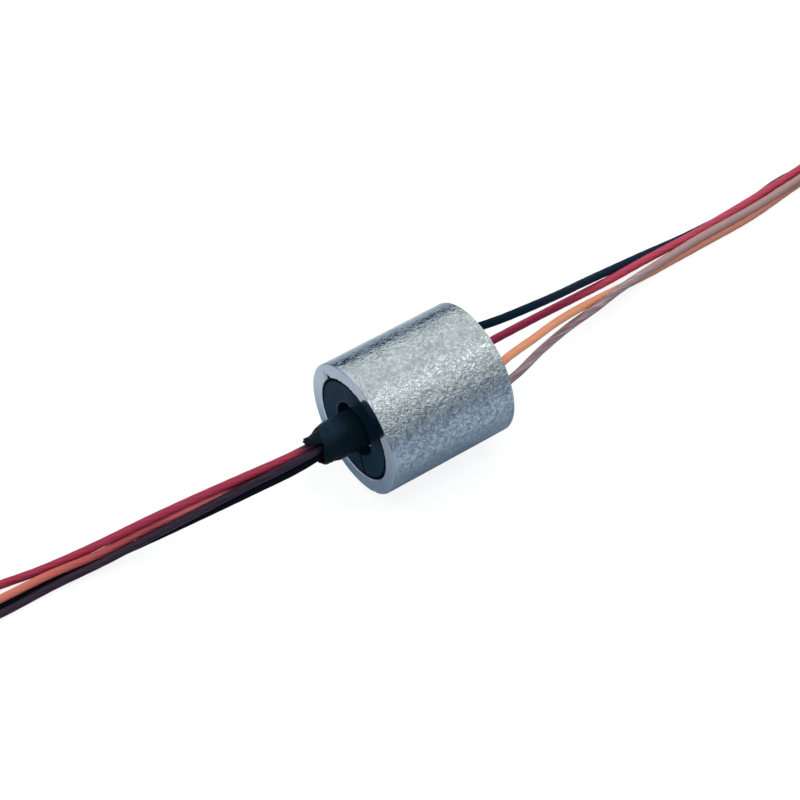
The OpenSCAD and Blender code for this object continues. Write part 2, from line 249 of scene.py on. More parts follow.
def frames(line):
    """Two directions across a line at each of its points, carried along it without twist."""
    t = np.gradient(line, axis=0)
    t /= np.linalg.norm(t, axis=1)[:, None]
    a = unit(np.cross((0, 0, 1.0), t[0]))
    first = []
    for d in t:
        a = unit(a - d * (a @ d))
        first.append(a)
    first = np.array(first)
    return t, first, np.cross(t, first)


STRANDS, LAY = 6, 6.5
# How tightly each lead's film has drawn, as a share of the nominal diameter.
FILM = {"rotor": {"red": 1.06, "orange": 1.0, "brown": 1.0, "black": 1.0}, "stator": {"black": 1.08, "red": 1.10, "orange": 1.05, "brown": 1.07}}


def lead_mesh(name, line, fine_to, seed, size):
    """A lead's insulation: a thin film drawn tight over twisted strands, with slight swells of its own."""
    along = np.concatenate([[0], np.cumsum(np.linalg.norm(np.diff(line, axis=0), axis=1))])
    stations = np.concatenate([np.arange(0, fine_to, 0.12), np.arange(fine_to, along[-1] - 0.1, 0.3), [along[-1]]])
    c = np.stack([np.interp(stations, along, line[:, k]) for k in range(3)], axis=1)
    _, a, b = frames(c)
    sides = 18
    rng = np.random.default_rng(seed)
    swell = np.interp(stations, np.arange(0, along[-1] + 5, 2.5), rng.normal(0, 0.0025, len(np.arange(0, along[-1] + 5, 2.5))))
    th = np.arange(sides) * 2 * math.pi / sides
    verts = []
    for i, s in enumerate(stations):
        lobes = np.abs(np.cos(STRANDS / 2 * (th - 2 * math.pi * s / LAY)))
        r = (LEAD_R - 0.005 + 0.006 * lobes + swell[i]) * size
        verts.append(c[i] + (np.cos(th) * r)[:, None] * a[i] + (np.sin(th) * r)[:, None] * b[i])
    verts = np.concatenate(verts)
    faces, corners = grid_faces(len(stations), sides)
    uvs = [(j / sides, stations[i]) for quad in corners for i, j in quad]
    last = (len(stations) - 1) * sides
    faces += [list(range(sides))[::-1], [last + k for k in range(sides)]]
    uvs += [(0.5, 0)] * sides + [(0.5, 0)] * sides
    return mesh_object(name, verts, faces, uvs), c


def strand_tip(name, end, way, length=2.2):
    """The stripped end of a lead: seven tinned strands, twisted and cut off square."""
    verts, faces = [], []
    t = unit(np.asarray(way, float))
    a = unit(np.cross(t, (0, 0.2, 1.0)))
    b = np.cross(t, a)
    rings, sides, r = 14, 8, 0.052
    for k in range(7):
        off = 0.0 if k == 6 else 0.105
        grow = length * (1 - 0.05 * ((k * 37) % 5) / 5)
        base = len(verts)
        for i in range(rings):
            s = -0.3 + (grow + 0.3) * i / (rings - 1)
            phi = math.radians(60 * k) + 2 * math.pi * s / LAY
            c = end + t * s + off * (math.cos(phi) * a + math.sin(phi) * b)
            for j in range(sides):
                q = 2 * math.pi * j / sides
                rr = r * (0.75 if i == rings - 1 else 1)
                verts.append(c + rr * (math.cos(q) * a + math.sin(q) * b))
        f, _ = grid_faces(rings, sides)
        faces += [[base + x for x in q] for q in f]
        faces += [[base + j for j in range(sides)][::-1], [base + (rings - 1) * sides + j for j in range(sides)]]
    return mesh_object(name, verts, faces)


# ---------------------------------------------------------------- materials
def new_material(name):
    m = bpy.data.materials.new(name)
    m.use_nodes = True
    nt = m.node_tree
    nt.nodes.clear()
    out = nt.nodes.new("ShaderNodeOutputMaterial")
    bsdf = nt.nodes.new("ShaderNodeBsdfPrincipled")
    nt.links.new(bsdf.outputs["BSDF"], out.inputs["Surface"])
    return m, nt, bsdf


class Build:
    """Short names for making shader nodes."""

    def __init__(self, nt):
        self.nt = nt

    def put(self, socket, value):
        if isinstance(value, bpy.types.NodeSocket):
            self.nt.links.new(value, socket)
        elif value is not None:
            if isinstance(value, (tuple, list)) and len(value) == 3 and socket.type == "RGBA":
                value = (*value, 1.0)
            socket.default_value = value

    def coords(self, which="Object"):
        return self.nt.nodes.new("ShaderNodeTexCoord").outputs[which]

    def split(self, v):
        n = self.nt.nodes.new("ShaderNodeSeparateXYZ")
        self.put(n.inputs[0], v)
        return n.outputs

    def join(self, x, y, z):
        n = self.nt.nodes.new("ShaderNodeCombineXYZ")
        for s, v in zip(n.inputs, (x, y, z)):
            self.put(s, v)
        return n.outputs[0]

    def noise(self, vector, scale, detail=3.0, rough=0.5, distortion=0.0):
        n = self.nt.nodes.new("ShaderNodeTexNoise")
        self.put(n.inputs["Vector"], vector)
        n.inputs["Scale"].default_value = scale
        n.inputs["Detail"].default_value = detail
        n.inputs["Roughness"].default_value = rough
        n.inputs["Distortion"].default_value = distortion
        return n.outputs["Fac"]

    def voronoi(self, vector, scale, feature="F1", randomness=1.0):
        n = self.nt.nodes.new("ShaderNodeTexVoronoi")
        n.feature = feature
        self.put(n.inputs["Vector"], vector)
        n.inputs["Scale"].default_value = scale
        n.inputs["Randomness"].default_value = randomness
        return n.outputs["Distance"]

    def math(self, op, a, b=None, c=None, clamp=False):
        n = self.nt.nodes.new("ShaderNodeMath")
        n.operation, n.use_clamp = op, clamp
        for s, v in zip(n.inputs, (a, b, c)):
            self.put(s, v)
        return n.outputs[0]

    def ramp(self, value, low, high, to_low=0.0, to_high=1.0, smooth=True):
        n = self.nt.nodes.new("ShaderNodeMapRange")
        if smooth:
            n.interpolation_type = "SMOOTHSTEP"
        for s, v in zip(list(n.inputs)[:5], (value, low, high, to_low, to_high)):
            self.put(s, v)
        return n.outputs[0]

    def mix(self, fac, a, b):
        n = self.nt.nodes.new("ShaderNodeMix")
        n.data_type = "RGBA"
        self.put(n.inputs[0], fac)
        self.put(n.inputs[6], a)
        self.put(n.inputs[7], b)
        return n.outputs[2]

    def bump(self, height, strength, distance, normal=None):
        n = self.nt.nodes.new("ShaderNodeBump")
        n.inputs["Strength"].default_value = strength
        n.inputs["Distance"].default_value = distance
        self.put(n.inputs["Height"], height)
        if normal is not None:
            self.put(n.inputs["Normal"], normal)
        return n.outputs["Normal"]


def blasted_steel():
    """Pickled and blasted outside with a fine worm-like grain; turned bright on the rim and the front edge."""
    m, nt, p = new_material("blasted_steel")
    b = Build(nt)
    v = b.coords()
    x, y, z = b.split(v)
    radius = b.math("SQRT", b.math("ADD", b.math("MULTIPLY", y, y), b.math("MULTIPLY", z, z)))
    angle = b.math("ARCTAN2", z, y)
    wander = b.noise(v, 2300, 2.0, 0.5)
    worm = b.ramp(b.math("ABSOLUTE", b.math("SUBTRACT", b.noise(v, 2700, 1.0, 0.5, 0.9), 0.5)), 0.0, 0.13)
    fleck = b.noise(v, 8200, 1.0, 0.5)
    blotch = b.noise(v, 4100, 1.5, 0.55, 0.3)
    cloud = b.noise(v, 1000, 3.0, 0.6)
    # painted shade: the blasted outside is blended towards dark on its lower side, below z = 0.4 mm
    low = b.ramp(z, -0.0020, 0.0004, 0.80, 1.0)
    spots = b.math("ADD", b.math("MULTIPLY", worm, 0.52), b.math("MULTIPLY", b.ramp(b.math("ADD", b.math("MULTIPLY", blotch, 0.75), b.math("MULTIPLY", fleck, 0.25)), 0.36, 0.64), 0.48))
    # the outside is blasted up to a ragged line just behind the front edge
    side = b.ramp(radius, 0.00418, 0.00423)
    near_face = b.math("MULTIPLY", b.math("MULTIPLY", b.ramp(angle, 1.60, 1.85), b.ramp(angle, 2.75, 2.50)), 0.00022)
    edge = b.ramp(b.math("ADD", b.math("ADD", x, near_face), b.math("MULTIPLY", b.math("SUBTRACT", wander, 0.5), 0.0011)), -0.00406, -0.00394)
    blasted = b.math("MULTIPLY", side, edge)
    light = b.mix(b.ramp(cloud, 0.3, 0.7), (0.60, 0.67, 0.69), (0.71, 0.775, 0.785))
    dark = b.mix(b.ramp(cloud, 0.3, 0.7), (0.34, 0.39, 0.415), (0.43, 0.485, 0.505))
    deep = b.ramp(angle, 2.05, 2.30)
    light = b.mix(deep, light, (0.73, 0.79, 0.80))
    dark = b.mix(deep, dark, (0.29, 0.335, 0.36))
    calm = b.math("MULTIPLY", b.ramp(b.math("ADD", x, b.math("MULTIPLY", cloud, 0.0016)), -0.0008, -0.0036), b.ramp(angle, 2.0, 1.6))
    rough_colour = b.mix(b.math("ADD", b.math("MULTIPLY", spots, b.math("SUBTRACT", 1.0, b.math("MULTIPLY", calm, 0.45))), b.math("MULTIPLY", calm, 0.22)), dark, light)
    turned = b.mix(b.ramp(b.noise(b.join(b.math("MULTIPLY", x, 40.0), y, z), 700, 2.0), 0.3, 0.7), (0.63, 0.69, 0.75), (0.71, 0.77, 0.83))
    # the bevel inside the rim: a painted highlight above and on the left, painted shade round the lower right; the
    # painted line is made non-metallic so its colour shows as painted light
    lip = b.math("MULTIPLY", b.ramp(radius, 0.00342, 0.00337), b.ramp(x, -0.00430, -0.004315))
    dim = b.mix(b.math("MULTIPLY", b.ramp(angle, -2.7, -2.3), b.ramp(angle, 1.5, 1.2)), (0.022, 0.042, 0.070), (0.42, 0.55, 0.70))
    bevel_lit_side = b.math("MULTIPLY", b.ramp(angle, -0.75, -0.45), b.ramp(angle, 1.35, 1.05))
    bevel = b.ramp(x, -0.004323, -0.00431)
    turned = b.mix(b.math("MULTIPLY", lip, bevel_lit_side), turned, (0.95, 0.97, 0.99))
    inner_line = b.math("MULTIPLY", b.ramp(radius, 0.00342, 0.00337), bevel)
    turned = b.mix(inner_line, turned, b.mix(bevel_lit_side, dim, (0.80, 0.91, 1.0)))
    # painted shade: the bore wall behind the face's edge is coloured near black
    bore_wall_shade = b.math("MULTIPLY", b.ramp(radius, 0.003325, 0.003312), b.ramp(x, -0.004276, -0.004266))
    turned = b.mix(b.math("MULTIPLY", bore_wall_shade, 0.95), turned, (0.020, 0.038, 0.060))
    # painted shade: the rounded outer corner is darkened, dimming the highlight it would catch
    corner = b.math("MULTIPLY", b.ramp(radius, 0.004185, 0.004205), b.ramp(x, -0.004252, -0.004262))
    turned = b.mix(b.math("MULTIPLY", corner, 0.75), turned, (0.31, 0.36, 0.42))
    turned = b.mix(b.math("MULTIPLY", side, b.ramp(x, -0.004262, -0.004250)), turned, (0.52, 0.59, 0.63))
    # the far wall of the V notch: a painted highlight near the rim and painted shade further in, made non-metallic so
    # the painted colour shows
    in_notch = b.math("MULTIPLY", b.math("MULTIPLY", b.ramp(angle, 0.69, 0.685), b.ramp(angle, 0.525, 0.545)), b.math("MULTIPLY", b.ramp(radius, 0.00388, 0.00384), b.ramp(radius, 0.003315, 0.00334)))
    wall = b.math("MULTIPLY", in_notch, b.math("MULTIPLY", b.ramp(x, -0.004322, -0.004312), b.ramp(x, -0.0036, -0.0037)))
    # painted highlight near the rim, painted shade deeper in
    filed = b.mix(b.ramp(x, -0.00420, -0.00415), (0.92, 0.96, 1.0), (0.010, 0.017, 0.026))
    # the blasted colour takes the painted shade of its lower side here
    base = b.mix(blasted, turned, b.mix(b.math("SUBTRACT", 1.0, low), rough_colour, (0.12, 0.17, 0.22)))
    b.put(p.inputs["Base Color"], b.mix(wall, base, filed))
    # non-metallic where the notch wall and the bevel line carry painted light and shade
    b.put(p.inputs["Metallic"], b.math("SUBTRACT", 1.0, b.math("MAXIMUM", wall, inner_line)))
    rim_rough = b.ramp(b.noise(v, 1500, 2.0), 0.2, 0.8, 0.04, 0.07)
    side_rough = b.math("MULTIPLY", b.ramp(spots, 0.0, 1.0, 0.30, 0.22), b.ramp(angle, 1.20, 1.42, 0.5, 1.0))
    band_rough = b.math("MULTIPLY", side, 0.14)
    b.put(p.inputs["Roughness"], b.math("ADD", b.math("MULTIPLY", blasted, side_rough),
                                       b.math("MULTIPLY", b.math("SUBTRACT", 1.0, blasted), b.math("ADD", rim_rough, band_rough))))
    grain = b.math("ADD", b.math("ADD", b.math("MULTIPLY", worm, 0.22), b.math("MULTIPLY", fleck, 0.12)), b.math("MULTIPLY", blotch, 0.70))
    height = b.math("MULTIPLY", b.math("ADD", b.math("MULTIPLY", grain, b.math("SUBTRACT", 1.0, b.math("MULTIPLY", calm, 0.55))), b.math("MULTIPLY", cloud, 0.75)), b.math("MULTIPLY", blasted, b.ramp(angle, 1.0, 1.3, 0.42, 1.0)))
    fine = b.math("MULTIPLY", b.noise(v, 2600, 3.0), 0.02)
    b.put(p.inputs["Normal"], b.bump(b.math("ADD", height, fine), 0.9, 0.00006))
    return m


def face_plastic():
    m, nt, p = new_material("face_plastic")
    b = Build(nt)
    v = b.coords()
    x, y, z = b.split(v)
    radius = b.math("SQRT", b.math("ADD", b.math("MULTIPLY", y, y), b.math("MULTIPLY", z, z)))
    cloud = b.noise(v, 700, 3.0, 0.6)
    fleck = b.noise(v, 9000, 2.0, 0.5)
    c = b.mix(cloud, (0.0045, 0.022, 0.042), (0.0095, 0.036, 0.067))
    c = b.mix(b.ramp(fleck, 0.62, 0.75), c, (0.014, 0.038, 0.064))
    # painted shade: the face darker through angles 1.35 to 3.0 rad, beside the sleeve
    ring = b.math("ARCTAN2", z, y)
    c = b.mix(b.math("MULTIPLY", b.math("MULTIPLY", b.ramp(ring, 1.35, 1.75), b.ramp(ring, 3.0, 2.6)), 0.72), c, (0.0015, 0.0055, 0.0095))
    # on the moulded face: a painted shadow at its rim, a painted highlight round the upper side of the hub hole,
    # painted highlights beside the split and along its upper half, and a dark joint line along its lower half
    on_face = b.ramp(x, -0.00410, -0.00420)
    sx, sy = math.sin(math.radians(68.2)), math.cos(math.radians(68.2))
    across = b.math("SUBTRACT", b.math("MULTIPLY", z, sy), b.math("MULTIPLY", y, sx))
    # painted highlight: a lighter ring round the hub hole on its upper side
    hub = b.math("MULTIPLY", b.ramp(radius, 0.00187, 0.00182), on_face)
    upper = b.ramp(b.math("ADD", b.math("MULTIPLY", y, 0.87), b.math("MULTIPLY", z, 0.5)), 0.0002, 0.0012)
    c = b.mix(b.math("MULTIPLY", hub, b.math("MULTIPLY", upper, 0.85)), c, (0.060, 0.100, 0.160))
    # painted highlight: a light line beside the split
    seam_edge_highlight = b.math("MULTIPLY", b.ramp(across, 0.00007, 0.00009), b.ramp(across, 0.00022, 0.00016))
    c = b.mix(b.math("MULTIPLY", b.math("MULTIPLY", seam_edge_highlight, on_face), 0.75), c, (0.022, 0.060, 0.085))
    lower_half = b.ramp(z, 0.0006, 0.0)
    split = b.math("MULTIPLY", b.ramp(b.math("ABSOLUTE", across), 0.000095, 0.000070), lower_half)
    # painted highlight: a lighter streak along the upper half of the split
    upper_seam_highlight = b.math("MULTIPLY", b.ramp(b.math("ABSOLUTE", across), 0.00008, 0.00005), b.math("SUBTRACT", 1.0, lower_half))
    c = b.mix(b.math("MULTIPLY", b.math("MULTIPLY", upper_seam_highlight, on_face), b.ramp(b.noise(v, 1500, 2.0), 0.35, 0.6, 0.1, 0.8)), c, (0.028, 0.060, 0.085))
    c = b.mix(b.math("MULTIPLY", split, on_face), c, (0.0005, 0.001, 0.002))
    # painted shadow: a dark band at the face's outer edge, mostly left out through angles 1.6 to 2.5 rad
    lit_rim = b.math("MULTIPLY", b.ramp(ring, 1.60, 1.80), b.ramp(ring, 2.52, 2.36))
    rim = b.math("MULTIPLY", b.math("MULTIPLY", b.ramp(radius, 0.00309, 0.00314), on_face), b.math("SUBTRACT", 1.0, b.math("MULTIPLY", lit_rim, 0.85)))
    c = b.mix(b.math("MULTIPLY", rim, 0.9), c, (0.0006, 0.002, 0.004))
    b.put(p.inputs["Base Color"], c)
    b.put(p.inputs["Roughness"], b.math("ADD", b.ramp(cloud, 0.2, 0.8, 0.24, 0.36), b.math("MULTIPLY", b.math("MAXIMUM", b.math("MULTIPLY", split, on_face), rim), 0.45)))
    p.inputs["Specular IOR Level"].default_value = 0.02
    b.put(p.inputs["Normal"], b.bump(b.math("ADD", b.math("MULTIPLY", cloud, 0.5), b.math("MULTIPLY", fleck, 0.5)), 0.35, 0.00003))
    return m


def shrink_tube():
    m, nt, p = new_material("shrink_tube")
    b = Build(nt)
    v = b.coords()
    x, y, z = b.split(v)
    cloud = b.noise(v, 1100, 3.0, 0.6)
    crackle = b.voronoi(v, 5200, "DISTANCE_TO_EDGE")
    wrinkle = b.noise(b.join(b.math("MULTIPLY", x, 2.6), y, z), 2600, 3.0, 0.6, 0.4)
    near_tip = b.ramp(x, -0.0056, -0.0070)
    lean = b.math("ADD", x, b.math("MULTIPLY", b.math("SUBTRACT", b.math("ARCTAN2", z, y), 1.22), 0.00042))
    flap = b.ramp(lean, -0.00636, -0.00648)
    c = b.mix(cloud, (0.0015, 0.0080, 0.0145), (0.0042, 0.0155, 0.0260))
    c = b.mix(b.math("MULTIPLY", b.ramp(cloud, 0.56, 0.70), 0.6), c, (0.006, 0.018, 0.030))
    # painted sheen: a lighter patch on the sleeve's upper side, from about 4.6 mm out onwards
    painted_sheen = b.math("MULTIPLY", b.ramp(x, -0.0046, -0.0056), b.ramp(b.math("ARCTAN2", z, y), 2.5, 1.7))
    c = b.mix(b.math("MULTIPLY", painted_sheen, b.ramp(b.noise(v, 1900, 3.0, 0.6), 0.35, 0.6, 0.45, 1.0)), c, (0.0100, 0.0320, 0.0540))
    b.put(p.inputs["Base Color"], b.mix(b.math("MULTIPLY", flap, 0.7), c, (0.0008, 0.002, 0.004)))
    b.put(p.inputs["Roughness"], b.math("SUBTRACT", b.ramp(cloud, 0.25, 0.75, 0.34, 0.52), b.math("MULTIPLY", flap, 0.12)))
    p.inputs["Specular IOR Level"].default_value = 0.07
    h = b.math("ADD", b.math("MULTIPLY", cloud, 0.7), b.math("MULTIPLY", wrinkle, b.math("ADD", 0.3, b.math("MULTIPLY", near_tip, 0.9))))
    h = b.math("ADD", h, b.math("MULTIPLY", b.ramp(crackle, 0.0, 0.12), b.math("MULTIPLY", near_tip, 0.25)))
    b.put(p.inputs["Normal"], b.bump(h, 0.6, 0.00010))
    return m


LEAD_COLOURS = {
    # film over the strands, film in the valleys, how strongly the strands show, specular level
    "red_rotor": ((0.53, 0.044, 0.102), (0.33, 0.015, 0.047), 0.35, 0.30),
    "red_stator": ((0.70, 0.092, 0.158), (0.48, 0.034, 0.085), 0.35, 0.28),
    "orange_stator": ((1.0, 0.42, 0.225), (1.0, 0.37, 0.185), 0.30, 0.25),
    "orange_rotor": ((0.62, 0.125, 0.130), (0.36, 0.045, 0.055), 0.35, 0.3),
    "black_stator": ((0.0050, 0.020, 0.042), (0.003, 0.0125, 0.026), 0.25, 0.03),
    "black_rotor": ((0.0055, 0.0090, 0.018), (0.0035, 0.005, 0.0105), 0.25, 0.03),
}


def along_x_tint(b, colour, near, far, other):
    """The film's colour shifts along the lead: all `other` at x = near millimetres, none of it at x = far; some calls
    use it for painted shade and painted light near the sleeve's mouth and the housing.
    """
    x = b.split(b.coords())[0]
    fac = b.ramp(x, near * MM, far * MM, 1.0, 0.0) if near < far else b.ramp(x, far * MM, near * MM, 0.0, 1.0)
    return b.mix(fac, colour, other)


def lead_film(name, crest, valley, amount, specular, rough=0.36, shade=None):
    m, nt, p = new_material(name)
    b = Build(nt)
    u, along, _ = b.split(b.coords("UV"))
    phase = b.math("MULTIPLY", b.math("SUBTRACT", b.math("MULTIPLY", u, float(STRANDS)), b.math("MULTIPLY", along, STRANDS / LAY)), 2 * math.pi)
    wave = b.math("ADD", b.math("MULTIPLY", b.math("COSINE", phase), 0.5), 0.5)
    v = b.coords()
    cloud = b.noise(v, 1300, 3.0, 0.6)
    shown = b.math("MULTIPLY", wave, amount)
    base = b.mix(b.math("ADD", shown, b.math("MULTIPLY", cloud, 1 - amount)), valley, crest)
    for drift in shade or ():
        base = along_x_tint(b, base, *drift)
    b.put(p.inputs["Base Color"], base)
    b.put(p.inputs["Roughness"], b.ramp(cloud, 0.2, 0.8, rough - 0.05, rough + 0.08))
    p.inputs["Specular IOR Level"].default_value = specular
    b.put(p.inputs["Normal"], b.bump(b.math("ADD", b.math("MULTIPLY", wave, 0.6), b.math("MULTIPLY", cloud, 0.4)), 0.4, 0.00003))
    return m


def brown_lead(name, film_light, film_dark, metal_show, specular, shade=None):
    """Smoky brown film that lets long, slowly twisted strands glint through."""
    m, nt, p = new_material(name)
    b = Build(nt)
    u, along, _ = b.split(b.coords("UV"))
    turn = b.math("MULTIPLY", b.math("SUBTRACT", u, b.math("MULTIPLY", along, 1 / 8.5)), 2 * math.pi)
    strand = b.noise(b.join(b.math("COSINE", turn), b.math("SINE", turn), b.math("MULTIPLY", along, 0.16)), 2.6, 2.0, 0.55)
    thread = b.noise(b.join(b.math("COSINE", turn), b.math("SINE", turn), b.math("MULTIPLY", along, 0.10)), 6.5, 1.0, 0.5)
    crest = b.ramp(b.math("ADD", b.math("MULTIPLY", strand, 0.6), b.math("MULTIPLY", thread, 0.4)), 0.38, 0.60)
    v = b.coords()
    cloud = b.noise(v, 900, 3.0, 0.6)
    base = b.mix(b.math("MULTIPLY", crest, b.ramp(cloud, 0.25, 0.6, 0.65, 1.0)), film_dark, film_light)
    for drift in shade or ():
        base = along_x_tint(b, base, *drift)
    b.put(p.inputs["Base Color"], base)
    b.put(p.inputs["Roughness"], b.ramp(crest, 0.0, 1.0, 0.42, 0.27))
    b.put(p.inputs["Metallic"], b.math("MULTIPLY", crest, metal_show))
    p.inputs["Specular IOR Level"].default_value = specular
    b.put(p.inputs["Normal"], b.bump(crest, 0.5, 0.00002))
    return m


def plain_metal(name, base, rough, scale=6000, metallic=1.0, bump=0.15):
    m, nt, p = new_material(name)
    b = Build(nt)
    v = b.coords()
    n = b.noise(v, scale, 3.0, 0.6)
    big = b.noise(v, scale / 8, 2.0, 0.5)
    dark = tuple(c * 0.78 for c in base)
    b.put(p.inputs["Base Color"], b.mix(b.math("ADD", b.math("MULTIPLY", n, 0.4), b.math("MULTIPLY", big, 0.6)), dark, base))
    b.put(p.inputs["Roughness"], b.ramp(n, 0.2, 0.8, rough * 0.8, rough * 1.3))
    p.inputs["Metallic"].default_value = metallic
    b.put(p.inputs["Normal"], b.bump(n, bump, 0.00002))
    return m


def plain_plastic(name, base, rough, scale=5000, bump=0.2, coat=0.0):
    m, nt, p = new_material(name)
    b = Build(nt)
    v = b.coords()
    n = b.noise(v, scale, 3.0, 0.6)
    big = b.noise(v, scale / 8, 2.0, 0.5)
    dark = tuple(c * 0.75 for c in base)
    b.put(p.inputs["Base Color"], b.mix(b.math("ADD", b.math("MULTIPLY", n, 0.4), b.math("MULTIPLY", big, 0.6)), dark, base))
    b.put(p.inputs["Roughness"], b.ramp(n, 0.2, 0.8, rough * 0.85, rough * 1.15))
    p.inputs["Coat Weight"].default_value = coat
    b.put(p.inputs["Normal"], b.bump(n, bump, 0.00003))
    return m


MAT = {
    "blasted_steel": blasted_steel(),
    "block_plastic": face_plastic(),
    "potting_resin": plain_plastic("potting_resin", (0.012, 0.014, 0.018), 0.16, 2500, 0.25, 0.5),
    "gold_alloy": plain_metal("gold_alloy", (0.95, 0.70, 0.30), 0.22),
    "bearing_steel": plain_metal("bearing_steel", (0.74, 0.75, 0.77), 0.10),
    "cage_steel": plain_metal("cage_steel", (0.70, 0.70, 0.71), 0.25),
    "shaft_steel": plain_metal("shaft_steel", (0.60, 0.61, 0.63), 0.3),
    "spacer_plastic": plain_plastic("spacer_plastic", (0.74, 0.70, 0.60), 0.45),
    "shrink_tube": shrink_tube(),
    "tie_sleeve": plain_plastic("tie_sleeve", (0.02, 0.021, 0.024), 0.5, 4000, 0.4),
    # painted shade: the rotor red darkens towards the sleeve's mouth, x above -8.5 mm
    "lead_red_rotor": lead_film("lead_red_rotor", *LEAD_COLOURS["red_rotor"], shade=[(-7.3, -8.5, (0.050, 0.020, 0.036))]),
    # painted shade: the stator red darker towards the housing, x below 18 mm
    "lead_red_stator": lead_film("lead_red_stator", *LEAD_COLOURS["red_stator"], shade=[(12.0, 18.0, (0.385, 0.017, 0.076))]),
    "lead_orange_stator": lead_film("lead_orange_stator", *LEAD_COLOURS["orange_stator"], shade=[(24.0, 18.0, (0.74, 0.29, 0.19))]),
    # painted light: lighter from x = -17 mm inwards; painted shade: dark from x = -13 mm to the sleeve's mouth; past x
    # = -19 mm the lead turns a lighter orange
    "lead_orange_rotor": lead_film("lead_orange_rotor", *LEAD_COLOURS["orange_rotor"], shade=[(-14.5, -17.0, (0.92, 0.20, 0.225)), (-11.8, -13.0, (0.16, 0.02, 0.035)), (-26.5, -19.0, (0.80, 0.215, 0.145))]),
    "lead_black_stator": lead_film("lead_black_stator", *LEAD_COLOURS["black_stator"], shade=[(22.0, 13.0, (0.0085, 0.026, 0.058))]),
    "lead_black_rotor": lead_film("lead_black_rotor", *LEAD_COLOURS["black_rotor"]),
    # painted shade: the rotor brown darkens towards the sleeve's mouth, x above -7.5 mm
    "lead_brown_rotor": brown_lead("lead_brown_rotor", (0.052, 0.030, 0.056), (0.025, 0.014, 0.030), 0.06, 0.15, [(-6.8, -7.5, (0.010, 0.006, 0.011))]),
    "lead_brown_stator": brown_lead("lead_brown_stator", (0.66, 0.47, 0.485), (0.27, 0.165, 0.178), 0.22, 0.35, [(24.0, 17.0, (0.52, 0.33, 0.31))]),
    "tinned": plain_metal("tinned_strand", (0.78, 0.77, 0.75), 0.28, 9000),
}
for entry in frame["record"]["subparts"]:
    slot, o = entry["material_slot"], NODES[entry["node"]]
    key = slot if slot in MAT else f"{slot}_{'rotor' if 'rotor' in entry['node'] else 'stator'}"
    o.data.materials.clear()
    o.data.materials.append(MAT[key])

# ---------------------------------------------------------------- leads
for side, routes in (("rotor", ROTOR), ("stator", STATOR)):
    wound = hank_leads(side)
    for i, (colour, pts) in enumerate(routes.items()):
        free = smooth_route(pts)
        line = np.concatenate([free, wound[colour][1:]])
        line = relax(spaced(line, 0.1), 10)
        line[:, 2] = np.maximum(line[:, 2], FLOOR + LEAD_R)
        name = f"{side}_lead_{colour}"
        o, centre = lead_mesh(f"{name}_cord", line, 44.0, 11 + i + (10 if side == "rotor" else 0), FILM[side][colour])
        o.data.materials.append(MAT[f"lead_{colour}_{side}"])
        tip = strand_tip(f"{name}_tip", centre[-1], centre[-1] - centre[-6])
        tip.data.materials.append(MAT["tinned"])
        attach(o, side)
        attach(tip, side)
        gone = [name] + ([f"{side}_hank"] if colour == "red" else [])
        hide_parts(*gone)


